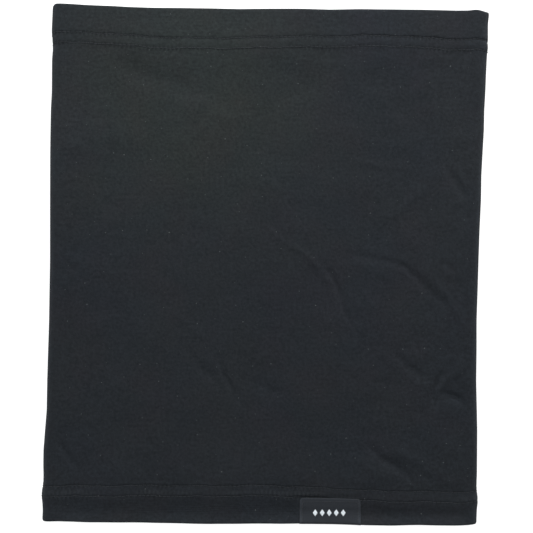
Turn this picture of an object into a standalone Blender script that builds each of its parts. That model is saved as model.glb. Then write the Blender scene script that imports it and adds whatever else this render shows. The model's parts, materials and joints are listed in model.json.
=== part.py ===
"""Neck gaiter: a single-jersey tube for skiing and snowboarding, laid flat.

One rectangular panel of knit is folded on the left, overlocked to itself along
the right, and turned in and coverstitched at both ends.  A folded woven label
wraps the bottom hem, and a blank care label is caught in the side seam.

Frame: the tube lies on its back layer in the XY plane.  +Y runs from the bottom
hem (the one with the label) to the top hem, +Z is up through both layers, and
the origin is under the middle of the object, on the plane it rests on.
Units are metres; the named dimensions below are in millimetres times MM.
"""
import math

import bmesh
import bpy
from mathutils import Vector

MM = 0.001

# ---------------------------------------------------------------- dimensions
CLOTH = 0.9 * MM            # thickness of the brushed single jersey
PLY_GAP = 0.3 * MM          # room between two plies that lie on each other
FLAT_HEIGHT = 11.0 * MM     # outside height of the loosely flattened tube
FOLD_R = FLAT_HEIGHT / 2.0  # radius of the two side folds

HEM_TURN = 23.0 * MM        # depth of cloth turned inside at each end
ROW_EDGE = 15.8 * MM        # needle row nearer the folded edge, from that edge
ROW_BODY = 21.8 * MM        # needle row nearer the body (6 mm gauge)
ROW_GROOVE_W = 0.5 * MM     # half width of the furrow a needle row pulls
ROW_GROOVE_D = 0.6 * MM     # its depth
THREAD_R = 0.17 * MM        # sewing thread radius
THREAD_DEPTH = 0.27 * MM    # depth of the needle thread's axis in its furrow
LOOPER_T = 0.3 * MM         # thickness of a looper thread layer

SEAM_W = 6.6 * MM           # width of the overlocked allowance
SEAM_T = 2.0 * CLOTH        # two plies of cloth
SEAM_DENT = 0.4 * MM        # how far the seam line is pulled in outside

LABEL_X0, LABEL_X1 = 19.9 * MM, 55.6 * MM   # woven hem label, left and right
LABEL_TOP = -136.9 * MM                     # its upper fold
LABEL_T = 0.5 * MM                          # tape thickness
LABEL_LIP = 4.0 * MM                        # end of the tape folded under
LABEL_STITCH_IN = 1.6 * MM                  # stitching inside the label's edge
LABEL_THREAD_R = 0.15 * MM

CARE_W = 30.0 * MM          # care label along the seam
CARE_L = 26.0 * MM          # its free length, folded double
CARE_PLY = 0.3 * MM
CARE_Y = -62.0 * MM         # middle of the care label along the seam

# The outline, as (y, x) down each side and (x, y) along each end.
LEFT_EDGE = [(-152.6, -130.4), (-135.0, -130.8), (-124.0, -129.9),
             (-108.0, -129.9), (-96.0, -129.0), (-68.0, -127.7),
             (-33.0, -126.6), (0.0, -126.2), (67.0, -125.7),
             (102.0, -124.9), (152.6, -124.6)]
RIGHT_EDGE = [(-152.6, 123.3), (-138.0, 123.8), (-124.0, 123.4),
              (-97.0, 123.7), (-68.0, 123.2), (-33.0, 123.4),
              (20.0, 125.0), (67.0, 126.9), (90.0, 127.7),
              (111.0, 128.8), (129.0, 130.0), (152.6, 131.0)]
TOP_EDGE = [(-130.0, 150.6), (-124.0, 151.6), (-119.0, 152.6),
            (-91.0, 151.2), (-68.0, 150.3), (-32.0, 150.0),
            (38.0, 149.2), (102.0, 148.7), (121.0, 149.0),
            (127.0, 148.2), (131.0, 147.4)]
BOTTOM_EDGE = [(-131.0, -150.4), (-103.0, -150.7), (-68.0, -151.0),
               (-32.0, -151.6), (38.0, -151.8), (111.0, -152.6),
               (120.0, -152.4), (124.0, -151.2)]

# ------------------------------------------------------------------ clean file
for old in list(bpy.data.objects):
    bpy.data.objects.remove(old, do_unlink=True)


def collection(name):
    """A collection of this name, linked to the scene."""
    coll = bpy.data.collections.get(name) or bpy.data.collections.new(name)
    if coll.name not in bpy.context.scene.collection.children:
        bpy.context.scene.collection.children.link(coll)
    return coll


GAITER = collection("neck_gaiter")
CUTTERS = collection("neck_gaiter_cutters")


def material(name, colour, roughness, metallic=0.0):
    """A Principled material in one plain colour."""
    mat = bpy.data.materials.new(name)
    mat.use_nodes = True
    bsdf = mat.node_tree.nodes["Principled BSDF"]
    bsdf.inputs["Base Color"].default_value = (*colour, 1.0)
    bsdf.inputs["Roughness"].default_value = roughness
    bsdf.inputs["Metallic"].default_value = metallic
    mat.diffuse_color = (*colour, 1.0)
    return mat


MAT_KNIT = material("jersey_knit", (0.026, 0.031, 0.034), 0.92)
MAT_NEEDLE = material("needle_thread", (0.018, 0.022, 0.024), 0.60)
MAT_LOOPER = material("looper_thread", (0.022, 0.026, 0.028), 0.75)
MAT_LABEL = material("woven_label", (0.040, 0.043, 0.048), 0.65)
MAT_LABEL_THREAD = material("label_thread", (0.060, 0.064, 0.070), 0.55)
MAT_CARE = material("care_label_satin", (0.62, 0.62, 0.60), 0.45)


# -------------------------------------------------------------------- geometry
def along(table, t):
    """Straight-line reading of a table of (t, value) millimetre stations."""
    t_mm = t / MM
    if t_mm <= table[0][0]:
        return table[0][1] * MM
    for (t0, v0), (t1, v1) in zip(table, table[1:]):
        if t_mm <= t1:
            return (v0 + (v1 - v0) * (t_mm - t0) / (t1 - t0)) * MM
    return table[-1][1] * MM


def loop_stations(straight=11, right=(-62, -35, -12, 0, 12, 35, 62),
                  left=(60, 30, 0, -30, -60)):
    """Stations once round the flattened tube: ('back'|'front', u) on the two
    layers, where u runs 0 to 1 from left to right, and ('right'|'left', angle)
    on the side folds, where the angle is 0 at the outermost line."""
    out = []
    for i in range(straight):
        out.append(("back", i / (straight - 1)))
    out += [("right", math.radians(a)) for a in right]
    for i in range(straight):
        out.append(("front", 1.0 - i / (straight - 1)))
    out += [("left", math.radians(a)) for a in left]
    return out


def loop_point(station, y, depth):
    """The point of the tube's cross-section at height y, this far inside its
    outer face."""
    side, v = station
    x0, x1 = along(LEFT_EDGE, y), along(RIGHT_EDGE, y)
    r = FOLD_R - depth
    if side == "back":
        return Vector((x0 + FOLD_R + (x1 - x0 - 2 * FOLD_R) * v, y, depth))
    if side == "front":
        return Vector((x0 + FOLD_R + (x1 - x0 - 2 * FOLD_R) * v, y,
                       FLAT_HEIGHT - depth))
    if side == "right":
        return Vector((x1 - FOLD_R + r * math.cos(v), y,
                       FOLD_R + r * math.sin(v)))
    return Vector((x0 + FOLD_R - r * math.cos(v), y, FOLD_R + r * math.sin(v)))


def end_edge(station, table, y_guess):
    """Height of a folded end above this station of the loop."""
    x = loop_point(station, y_guess, 0.0).x
    return along(table, x)


def end_y(station, end, inset):
    """Height of a line that lies this far in from the top or bottom fold."""
    if end == "top":
        return end_edge(station, TOP_EDGE, 149 * MM) - inset
    return end_edge(station, BOTTOM_EDGE, -150 * MM) + inset


def mesh_object(name, verts, faces, mat, coll=GAITER):
    """A closed mesh object with its faces turned outwards."""
    mesh = bpy.data.meshes.new(name)
    mesh.from_pydata([tuple(v) for v in verts], [], faces)
    bm = bmesh.new()
    bm.from_mesh(mesh)
    bmesh.ops.recalc_face_normals(bm, faces=bm.faces)
    bm.to_mesh(mesh)
    bm.free()
    mesh.materials.append(mat)
    obj = bpy.data.objects.new(name, mesh)
    coll.objects.link(obj)
    return obj


def ring(name, sections, mat):
    """A closed body swept round a closed row of equal, closed sections."""
    n, m = len(sections), len(sections[0])
    verts = [p for section in sections for p in section]
    faces = []
    for j in range(n):
        k = (j + 1) % n
        for i in range(m):
            h = (i + 1) % m
            faces.append((j * m + i, j * m + h, k * m + h, k * m + i))
    return mesh_object(name, verts, faces, mat)


def bar(name, sections, mat, coll=GAITER):
    """A capped body lofted along an open row of equal, closed sections."""
    n, m = len(sections), len(sections[0])
    verts = [p for section in sections for p in section]
    faces = [tuple(range(m)), tuple((n - 1) * m + i for i in reversed(range(m)))]
    for j in range(n - 1):
        for i in range(m):
            h = (i + 1) % m
            faces.append((j * m + i, j * m + h, (j + 1) * m + h,
                          (j + 1) * m + i))
    return mesh_object(name, verts, faces, mat, coll)


def thread(name, points, radius, mat, cyclic):
    """A sewing thread: a round cord along the given points."""
    curve = bpy.data.curves.new(name, "CURVE")
    curve.dimensions = "3D"
    curve.bevel_depth = radius
    curve.bevel_resolution = 1
    curve.use_fill_caps = not cyclic
    spline = curve.splines.new("POLY")
    spline.points.add(len(points) - 1)
    for item, p in zip(spline.points, points):
        item.co = (*p, 1.0)
    spline.use_cyclic_u = cyclic
    curve.materials.append(mat)
    obj = bpy.data.objects.new(name, curve)
    GAITER.objects.link(obj)
    return obj


def flat_outline(name, outline, width, mat):
    """A flat outline given thickness: a 2D curve filled on both sides."""
    curve = bpy.data.curves.new(name, "CURVE")
    curve.dimensions = "2D"
    curve.fill_mode = "BOTH"
    curve.extrude = width / 2.0
    spline = curve.splines.new("POLY")
    spline.points.add(len(outline) - 1)
    for item, (a, b) in zip(spline.points, outline):
        item.co = (a, b, 0.0, 1.0)
    spline.use_cyclic_u = True
    curve.materials.append(mat)
    obj = bpy.data.objects.new(name, curve)
    GAITER.objects.link(obj)
    return obj


# ------------------------------------------------------------------- knit tube
# One piece of cloth.  Its lengthwise profile is a list of (where, value, depth):
# 'top' and 'bottom' values are insets from the folded ends, 'body' values run 0
# to 1 between the two hems.  It goes up the outside, over the top fold, down
# the turned-in cloth to its raw edge and back, down the inside of the body, and
# round the bottom hem in the same way.
EDGE_R = CLOTH + PLY_GAP / 2.0     # outside radius of the folded end
BODY_INSET = 30.0 * MM


def furrow(end, inset):
    """Outside points across one needle row, from its edge side inwards."""
    w, d = ROW_GROOVE_W, ROW_GROOVE_D
    return [(end, inset - w, 0.0), (end, inset - 0.7 * w, d),
            (end, inset + 0.7 * w, d), (end, inset + w, 0.0)]


def fold_points(end, radius, steps):
    """Half circle over a folded end, from the inside ply to the outside one."""
    pts = []
    for i in range(steps + 1):
        a = math.pi * i / steps
        pts.append((end, EDGE_R - radius * math.sin(a),
                    EDGE_R + radius * math.cos(a)))
    return pts


def hem_line(end, depth, outwards):
    """Points along one face of a hem: at both needle rows and at the raw edge,
    from the folded end inwards, or outwards towards it."""
    pts = [(end, ROW_EDGE, depth), (end, ROW_BODY, depth),
           (end, HEM_TURN, depth)]
    return pts[::-1] if outwards else pts


def cloth_profile():
    """The whole closed profile of the cloth."""
    body = [i / 7.0 for i in range(8)]
    half_out = furrow("bottom", ROW_EDGE) + furrow("bottom", ROW_BODY)
    half_top = furrow("top", ROW_BODY)[::-1] + furrow("top", ROW_EDGE)[::-1]
    outside = (fold_points("bottom", EDGE_R, 4) + half_out
               + [("body", b, 0.0) for b in body] + half_top
               + fold_points("top", EDGE_R, 4)[::-1])
    inner = 2 * CLOTH + PLY_GAP        # inside face of the turned-in cloth
    facing = CLOTH + PLY_GAP           # its face against the outer ply
    turned_top = hem_line("top", inner, False) + hem_line("top", facing, True)
    turned_top += fold_points("top", PLY_GAP / 2.0, 2)
    inside = hem_line("top", CLOTH, False)[:2]
    inside += [("body", b, CLOTH) for b in reversed(body)]
    inside += hem_line("bottom", CLOTH, True)[1:]
    turned_bottom = fold_points("bottom", PLY_GAP / 2.0, 2)[::-1]
    turned_bottom += hem_line("bottom", facing, False)
    turned_bottom += hem_line("bottom", inner, True)
    return outside + turned_top + inside + turned_bottom


def cloth_point(station, where, value, depth):
    """A profile point at one station of the loop."""
    if where == "body":
        lo = end_y(station, "bottom", BODY_INSET)
        hi = end_y(station, "top", BODY_INSET)
        y = lo + (hi - lo) * value
    else:
        y = end_y(station, where, value)
    if station[0] == "right" and abs(station[1]) < 1e-6 and depth < CLOTH:
        depth = max(depth, SEAM_DENT)     # the seam line, pulled inwards
    return loop_point(station, y, depth)


LOOP = loop_stations()
PROFILE = cloth_profile()
knit_tube = ring("knit_tube",
                 [[cloth_point(s, *p) for p in PROFILE] for s in LOOP],
                 MAT_KNIT)

# The overlocked allowance: both edges of the panel, standing inwards from the
# right-hand fold at half height, between the two turned-in hems.
SEAM_Z = FOLD_R
MID = ("right", 0.0)
SEAM_Y0 = end_y(MID, "bottom", HEM_TURN + 1.0 * MM)
SEAM_Y1 = end_y(MID, "top", HEM_TURN + 1.0 * MM)


def seam_rows(y0, y1, count):
    """Heights of the sections along a stretch of the seam."""
    return [y0 + (y1 - y0) * i / (count - 1) for i in range(count)]


def seam_section(y, x_in, x_out, z0, z1):
    """A rectangle across the seam; x is measured inwards from the fold."""
    xr = along(RIGHT_EDGE, y)
    return [Vector((xr - x_in, y, z0)), Vector((xr - x_out, y, z0)),
            Vector((xr - x_out, y, z1)), Vector((xr - x_in, y, z1))]


SEAM_ROOT = CLOTH - 0.2 * MM
SEAM_EDGE = CLOTH + SEAM_W
allowance = bar("seam_allowance_tool",
                [seam_section(y, SEAM_ROOT, SEAM_EDGE, SEAM_Z - SEAM_T / 2,
                              SEAM_Z + SEAM_T / 2)
                 for y in seam_rows(SEAM_Y0, SEAM_Y1, 12)],
                MAT_KNIT, CUTTERS)
allowance.hide_render = True
allowance.display_type = "WIRE"
join = knit_tube.modifiers.new("seam_allowance", "BOOLEAN")
join.operation = "UNION"
join.solver = "EXACT"
join.object = allowance

# ------------------------------------------------------------------ hem stitches
for end in ("top", "bottom"):
    for row, inset in (("edge", ROW_EDGE), ("body", ROW_BODY)):
        thread(f"{end}_hem_{row}_needle_thread",
               [loop_point(s, end_y(s, end, inset), THREAD_DEPTH)
                for s in LOOP],
               THREAD_R, MAT_NEEDLE, True)
    # The looper thread lies flat on the turned-in cloth, across both rows.
    d0 = 2 * CLOTH + 2 * PLY_GAP
    d1 = d0 + LOOPER_T
    lo, hi = ROW_EDGE - 0.3 * MM, ROW_BODY + 0.3 * MM
    ring(f"{end}_hem_looper_thread",
         [[loop_point(s, end_y(s, end, a), d)
           for a, d in ((lo, d0), (hi, d0), (hi, d1), (lo, d1))]
          for s in LOOP],
         MAT_LOOPER)

# ----------------------------------------------------------------- side overlock
rows = seam_rows(SEAM_Y0 + 0.6 * MM, SEAM_Y1 - 0.6 * MM, 12)
top_z = SEAM_Z + SEAM_T / 2
low_z = SEAM_Z - SEAM_T / 2
NEEDLE_IN = CLOTH + 1.2 * MM       # the needle row, from the fold inwards
thread("side_seam_needle_thread",
       [Vector((along(RIGHT_EDGE, y) - NEEDLE_IN, y,
                top_z + PLY_GAP + THREAD_R)) for y in rows],
       THREAD_R, MAT_NEEDLE, False)
bar("side_seam_upper_looper_thread",
    [seam_section(y, NEEDLE_IN + 0.6 * MM, SEAM_EDGE, top_z + PLY_GAP,
                  top_z + PLY_GAP + LOOPER_T) for y in rows], MAT_LOOPER)
bar("side_seam_lower_looper_thread",
    [seam_section(y, NEEDLE_IN + 0.6 * MM, SEAM_EDGE, low_z - PLY_GAP - LOOPER_T,
                  low_z - PLY_GAP) for y in rows], MAT_LOOPER)

# --------------------------------------------------------------------- hem label
# Woven tape folded over the bottom edge of the front layer: one leg outside, one
# inside.  The profile is drawn in (y, z) and extruded across the label.
label_x = (LABEL_X0 + LABEL_X1) / 2
hem_y = along(BOTTOM_EDGE, label_x)
wrap_c = (hem_y + EDGE_R, FLAT_HEIGHT - EDGE_R)
wrap_in = EDGE_R + PLY_GAP
wrap_out = wrap_in + LABEL_T
outside_z = wrap_c[1] + wrap_out
inside_z = wrap_c[1] - wrap_out


def half_turn(radius, steps, down):
    """Half circle round the hem's fold, from its outside to its inside."""
    pts = []
    for i in range(steps + 1):
        a = math.pi * i / steps
        pts.append((wrap_c[0] - radius * math.sin(a),
                    wrap_c[1] + radius * math.cos(a)))
    return pts if down else pts[::-1]


label_outline = [(LABEL_TOP, outside_z + 0.4 * MM)]
label_outline += [(LABEL_TOP - LABEL_LIP, outside_z + 0.4 * MM),
                  (LABEL_TOP - LABEL_LIP - 0.8 * MM, outside_z)]
label_outline += half_turn(wrap_out, 6, True)
label_outline += [(LABEL_TOP - 0.6 * MM, inside_z),
                  (LABEL_TOP - 0.6 * MM, inside_z + LABEL_T)]
label_outline += half_turn(wrap_in, 6, False)
label_outline += [(LABEL_TOP, outside_z - LABEL_T)]
hem_label = flat_outline("hem_label", label_outline, LABEL_X1 - LABEL_X0,
                         MAT_LABEL)
hem_label.location = (label_x, 0.0, 0.0)
hem_label.rotation_euler = (math.pi / 2, 0.0, math.pi / 2)

# One run of stitching up one side of the label, across its top and down again.
face = outside_z + 0.1 * MM + LABEL_THREAD_R
lip = face + 0.4 * MM
xs0, xs1 = LABEL_X0 + LABEL_STITCH_IN, LABEL_X1 - LABEL_STITCH_IN
y_low = hem_y + 0.8 * MM
y_bend = LABEL_TOP - LABEL_LIP - 1.0 * MM
y_lip = LABEL_TOP - LABEL_LIP + 0.2 * MM
y_row = LABEL_TOP - LABEL_STITCH_IN
stitch_path = [(xs0, y_low, face), (xs0, y_bend, face), (xs0, y_lip, lip),
               (xs0, y_row - 0.6 * MM, lip), (xs0 + 0.6 * MM, y_row, lip),
               (xs1 - 0.6 * MM, y_row, lip), (xs1, y_row - 0.6 * MM, lip),
               (xs1, y_lip, lip), (xs1, y_bend, face), (xs1, y_low, face)]
thread("hem_label_stitching", [Vector(p) for p in stitch_path],
       LABEL_THREAD_R, MAT_LABEL_THREAD, False)

# -------------------------------------------------------------------- care label
# Satin tape folded double, its two ends caught in the side seam.  It swings on
# the allowance's raw edge and rests on the back layer.
care_hinge = bpy.data.objects.new("care_label_hinge", None)
GAITER.objects.link(care_hinge)
care_x = along(RIGHT_EDGE, CARE_Y) - SEAM_EDGE - 0.5 * MM
care_hinge.location = (care_x, CARE_Y, SEAM_Z)
half = CARE_PLY + PLY_GAP / 2.0            # half the folded label's thickness
droop = math.asin((SEAM_Z - CLOTH - 0.35 * MM - half) / CARE_L)
care_hinge.rotation_euler = (0.0, -droop, 0.0)
outline = [(0.0, half), (CARE_L - half, half)]
for i in range(1, 6):
    a = math.pi / 2 - math.pi * i / 6
    outline.append((CARE_L - half + half * math.cos(a), half * math.sin(a)))
outline += [(CARE_L - half, -half), (0.0, -half), (0.0, -half + CARE_PLY),
            (CARE_L - half, -half + CARE_PLY),
            (CARE_L - half, half - CARE_PLY), (0.0, half - CARE_PLY)]
care_label = flat_outline("care_label", outline, CARE_W, MAT_CARE)
care_label.rotation_euler = (math.pi / 2, 0.0, math.pi)
care_label.parent = care_hinge

# ------------------------------------------------------------------ smooth faces
for obj in GAITER.objects:
    if obj.type == "MESH":
        obj.data.shade_smooth()
        obj.data.set_sharp_from_angle(angle=math.radians(35))

bpy.context.view_layer.update()
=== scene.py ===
"""Looks for the neck gaiter: fine cloth, single stitches, woven labels, light.

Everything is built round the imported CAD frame, in the same axes: the tube lies
on its back layer in the XY plane, +Y towards the top hem, +Z up.  Shapes are
worked out in millimetres and turned into metres when the meshes are made.
"""
import json
import math

import bmesh
import bpy
import numpy as np
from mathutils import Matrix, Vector


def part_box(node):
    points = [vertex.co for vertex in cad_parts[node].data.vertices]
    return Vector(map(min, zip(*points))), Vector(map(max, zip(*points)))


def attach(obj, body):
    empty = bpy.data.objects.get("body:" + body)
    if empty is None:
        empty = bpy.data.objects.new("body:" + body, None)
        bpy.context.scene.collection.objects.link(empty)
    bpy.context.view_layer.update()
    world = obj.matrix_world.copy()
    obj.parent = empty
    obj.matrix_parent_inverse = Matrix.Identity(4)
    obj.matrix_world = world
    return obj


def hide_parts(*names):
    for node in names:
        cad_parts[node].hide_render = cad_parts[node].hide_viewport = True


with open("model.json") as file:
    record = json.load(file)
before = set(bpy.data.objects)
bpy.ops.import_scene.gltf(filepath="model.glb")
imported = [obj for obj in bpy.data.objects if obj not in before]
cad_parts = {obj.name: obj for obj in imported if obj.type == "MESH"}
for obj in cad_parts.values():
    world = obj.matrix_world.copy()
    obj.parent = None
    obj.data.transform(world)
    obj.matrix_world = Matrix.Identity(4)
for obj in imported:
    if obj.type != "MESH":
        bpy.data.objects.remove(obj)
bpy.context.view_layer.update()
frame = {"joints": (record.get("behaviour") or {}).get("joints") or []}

MM = 0.001
BODY = "gaiter"
FLAP = "care_flap"

# The CAD solids say where things are; these are read back from them.
tube_lo, tube_hi = (np.array(c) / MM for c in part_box("knit_tube"))
label_lo, label_hi = (np.array(c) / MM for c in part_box("hem_label"))
care_lo, care_hi = (np.array(c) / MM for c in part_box("care_label"))

# ------------------------------------------------------------------ dimensions
CLOTH = 0.9          # ply thickness
GAP = 0.3            # between two plies
EDGE_R = CLOTH + GAP / 2
HEM_TURN = 23.0
ROW_EDGE, ROW_BODY = 15.8, 21.8
BACK_Z = 0.4         # the back layer's body; the thicker hems lie at 0
STITCH = 2.4         # stitch length of both coverstitches

LEFT_EDGE = [(-152.0, -130.2), (-148.5, -130.5), (-144.0, -130.2),
             (-138.0, -130.5), (-135.0, -130.8), (-130.0, -130.6),
             (-127.5, -130.3), (-125.0, -130.0), (-117.0, -130.2),
             (-108.5, -130.1), (-97.0, -129.2), (-85.0, -128.2),
             (-67.5, -127.9), (-50.0, -127.4), (-32.0, -126.8),
             (3.0, -126.2), (38.0, -126.2), (67.0, -126.1), (90.0, -125.8),
             (102.0, -125.2), (120.0, -125.1), (126.5, -124.5),
             (129.0, -124.4), (131.3, -124.6), (134.0, -124.9),
             (137.0, -125.0), (146.5, -124.6), (152.0, -124.4)]
RIGHT_EDGE = [(-152.0, 123.20), (-147.0, 123.30), (-144.0, 123.40),
              (-138.0, 123.80), (-132.0, 123.70), (-127.5, 123.55),
              (-123.0, 123.75), (-97.0, 123.95), (-85.0, 123.75),
              (-68.0, 123.35), (-50.0, 123.55), (-32.5, 123.55),
              (-15.0, 124.15), (2.5, 124.65), (20.0, 125.25), (38.0, 126.15),
              (52.0, 126.35), (67.0, 127.15), (78.5, 127.85), (90.0, 128.05),
              (102.0, 128.75), (111.0, 129.05), (119.5, 129.45),
              (126.5, 129.95), (129.0, 130.00), (134.0, 129.90),
              (140.0, 129.90), (144.0, 130.30), (148.0, 130.80)]
TOP_EDGE = [(-124.0, 152.5), (-119.0, 152.5), (-111.0, 152.1),
            (-102.5, 151.6), (-91.0, 151.2), (-79.0, 150.6),
            (-67.0, 150.3), (-50.0, 150.3), (-32.0, 150.0),
            (-15.0, 149.5), (3.0, 149.7), (20.0, 149.7), (38.0, 149.2),
            (55.0, 149.5), (73.0, 149.2), (91.0, 148.8), (111.0, 148.0),
            (118.5, 148.0), (123.3, 148.6), (126.0, 147.8),
            (128.5, 147.2), (131.0, 147.2)]
BOTTOM_EDGE = [(-130.0, -150.4), (-121.0, -150.0), (-112.0, -150.1),
               (-103.0, -150.6), (-85.0, -151.0), (-67.0, -151.3),
               (-32.0, -151.9), (-12.0, -151.6), (3.0, -151.4),
               (38.0, -151.9), (55.0, -152.4), (73.0, -152.4),
               (91.0, -152.0), (104.0, -152.0), (111.0, -152.0),
               (119.0, -151.9), (124.0, -151.8)]


def smooth_line(table, sigma):
    """A function that reads a table of stations as one smooth line."""
    step = 0.25
    t = np.arange(table[0][0] - 12.0, table[-1][0] + 12.0, step)
    v = np.interp(t, [p[0] for p in table], [p[1] for p in table])
    reach = int(4 * sigma / step)
    g = np.exp(-0.5 * (np.arange(-reach, reach + 1) * step / sigma) ** 2)
    v = np.convolve(np.pad(v, reach, mode="edge"), g / g.sum(), "valid")
    return lambda q: np.interp(q, t, v)


# How far the coverstitch rows wander from their set distance, along the hem.
TOP_WANDER = [(-130.0, 0.9), (-112.0, 0.9), (-91.0, 0.3), (-68.0, 1.8),
              (-44.0, 2.1), (-21.0, 1.6), (3.0, 0.9), (32.0, 0.4),
              (67.0, -0.1), (90.0, 0.9), (111.0, 1.4), (131.0, 1.5)]
BOTTOM_WANDER = [(-130.0, -1.5), (-112.0, -1.2), (-91.0, -0.8), (-68.0, 0.1),
                 (-44.0, 0.0), (-21.0, 0.4), (3.0, 0.3), (32.0, -1.0),
                 (67.0, -2.0), (90.0, -2.6), (111.0, -2.7), (131.0, -2.7)]


left_x = smooth_line(LEFT_EDGE, 1.2)
right_x = smooth_line(RIGHT_EDGE, 1.2)
top_y = smooth_line(TOP_EDGE, 1.2)
bottom_y = smooth_line(BOTTOM_EDGE, 1.2)
wander = {"top": smooth_line(TOP_WANDER, 6.0),
          "bottom": smooth_line(BOTTOM_WANDER, 6.0)}

# How tightly the top hem's rows are drawn, against their full depth.
TIGHT_EDGE = smooth_line([(-131.0, 0.40), (-112.0, 0.42), (-95.0, 0.55),
                          (-72.0, 0.90), (-58.0, 0.75), (-44.0, 0.45),
                          (-21.0, 0.42), (3.0, 0.55), (25.0, 0.80),
                          (60.0, 1.05), (131.0, 1.05)], 6.0)
TIGHT_BODY = smooth_line([(-131.0, 0.75), (-95.0, 0.75), (-68.0, 0.60),
                          (-50.0, 0.15), (-21.0, 0.10), (5.0, 0.15),
                          (40.0, 0.65), (60.0, 0.80), (131.0, 0.80)], 6.0)


def waves(x, y, terms):
    """A smooth undulation: the sum of a few long plane waves."""
    out = 0.0
    for amp, lx, ly, ph in terms:
        out = out + amp * np.sin(2 * np.pi * (x / lx + y / ly) + ph)
    return out


# ------------------------------------------------------- the front layer's relief
# Soft creases: a row of points, the height of the ridge (or depth, if negative)
# and its half width.
CREASES = [
    # the forked crescent right of the middle
    ([(1.0, 22.0), (7.7, 15.2), (14.3, 11.6), (20.9, 7.2), (26.8, 2.8),
      (32.2, -3.8), (35.5, -9.7), (38.5, -17.7)], 0.55, 1.7),
    ([(35.5, -1.5), (37.6, -4.5), (42.0, -14.8), (46.4, -26.5), (50.2, -37.0)],
     -1.15, 1.5),
    # the long hooked fold that runs out to the right-hand edge
    ([(42.1, -0.1), (59.7, -0.9), (75.8, -6.0)], 0.34, 3.4),
    ([(50.0, 5.8), (56.8, 5.0), (69.9, 2.5), (81.7, -1.3), (88.2, -6.7),
      (95.6, -15.5), (102.9, -21.4), (107.0, -27.0)], -0.80, 1.5),
    ([(90.0, -2.5), (92.8, -5.2), (99.6, -11.8), (106.6, -18.6),
      (111.5, -28.0), (113.5, -38.0)], 0.66, 1.9),
    ([(101.0, 0.4), (106.0, -1.4), (112.0, -3.6)], -0.50, 1.4),
    ([(110.0, -8.0), (114.0, -14.0), (117.0, -21.0)], -0.40, 2.0),
    ([(113.0, -30.0), (116.0, -44.0), (114.5, -58.0), (108.0, -68.0)],
     0.35, 2.8),
    # upper right
    ([(50.2, 60.2), (59.7, 58.7), (75.8, 57.2), (89.0, 54.9)], 0.50, 1.5),
    ([(92.0, 46.0), (82.4, 35.7), (75.8, 26.2)], 0.62, 1.7),
    ([(103.0, 60.0), (105.1, 56.9), (112.1, 45.2), (119.4, 36.2),
      (122.5, 31.0)], -0.72, 1.9),
    ([(106.0, 61.0), (114.0, 50.0), (121.0, 41.0)], 0.35, 2.4),
    # the knot of small folds low on the right
    ([(76.0, -52.0), (81.7, -57.5), (88.7, -63.4), (96.5, -69.5)], -0.85, 1.8),
    ([(103.0, -62.0), (101.0, -67.0), (99.2, -73.3), (98.0, -86.0)],
     -1.75, 1.4),
    ([(118.0, -52.5), (110.2, -63.8), (102.5, -68.8)], 0.85, 1.8),
    ([(101.5, -74.0), (104.0, -75.1), (110.9, -77.7), (116.5, -81.8),
      (121.5, -90.5)], -1.40, 2.3),
    ([(118.2, -54.0), (118.8, -73.3), (120.0, -88.0)], -1.20, 1.4),
    ([(62.0, -50.0), (72.0, -55.0), (82.0, -66.0)], 0.22, 2.6),
    # the broad fold that dives under the bottom hem
    ([(59.0, -105.0), (62.0, -107.7), (66.4, -111.7), (76.1, -117.5),
      (82.8, -123.4), (89.5, -129.0)], -1.25, 2.4),
    ([(73.0, -107.0), (83.4, -112.0), (92.8, -117.8), (101.0, -124.3)],
     0.60, 3.2),
    ([(98.0, -120.0), (109.2, -129.8)], 0.40, 1.4),
    ([(92.5, -121.5), (98.0, -128.6)], -0.75, 1.8),
    ([(52.0, -113.0), (67.0, -123.1), (78.7, -127.2)], 0.50, 4.0),
    # left of the middle
    ([(-53.0, -27.5), (-49.8, -30.9), (-42.5, -38.2), (-36.0, -43.5)],
     0.42, 1.6),
    ([(-46.0, -47.0), (-43.6, -52.1), (-35.2, -63.4), (-24.9, -71.9)],
     -0.58, 2.1),
    ([(-30.0, -48.0), (-29.0, -51.4), (-24.2, -64.5), (-19.8, -71.9),
      (-11.7, -86.0)], -0.58, 1.8),
    ([(-12.0, -67.5), (-5.0, -70.5), (1.4, -72.9), (14.0, -75.8)],
     -0.42, 1.7),
    ([(-74.0, -100.0), (-66.5, -108.0)], -0.38, 1.7),
    ([(-79.0, -14.0), (-78.2, -35.0), (-76.5, -60.0)], 0.25, 1.5),
    # broad, shallow waves high on the left
    ([(-111.0, 124.5), (-85.0, 118.5), (-59.0, 108.0), (-35.5, 97.5),
      (-18.0, 89.5)], -0.42, 6.5),
    ([(-118.0, 66.0), (-106.0, 69.0), (-91.0, 72.5), (-70.0, 78.0)],
     0.50, 7.0),
    ([(-8.0, 118.0), (14.0, 111.0), (34.0, 101.0)], -0.34, 6.0),
    # along the left-hand fold
    ([(-116.5, -13.0), (-116.2, -45.0), (-116.6, -78.0)], -0.80, 2.2),
    ([(-124.0, -94.0), (-119.4, -105.5), (-110.5, -118.2)], -0.90, 2.1),
    ([(-118.0, 70.0), (-100.0, 82.0), (-76.0, 84.0)], 0.45, 9.0),
    ([(-88.0, 118.0), (-66.0, 110.0), (-44.0, 104.0)], -0.45, 6.0),
    ([(-52.0, 96.0), (-30.0, 90.0), (-8.0, 82.0)], 0.30, 6.0),
    # a pressed line from packing, a little inside the right-hand fold
    ([(101.5, 118.0), (99.0, 70.0), (97.5, 20.0), (97.0, -30.0),
      (96.5, -66.0)], -0.30, 1.3),
]


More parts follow.
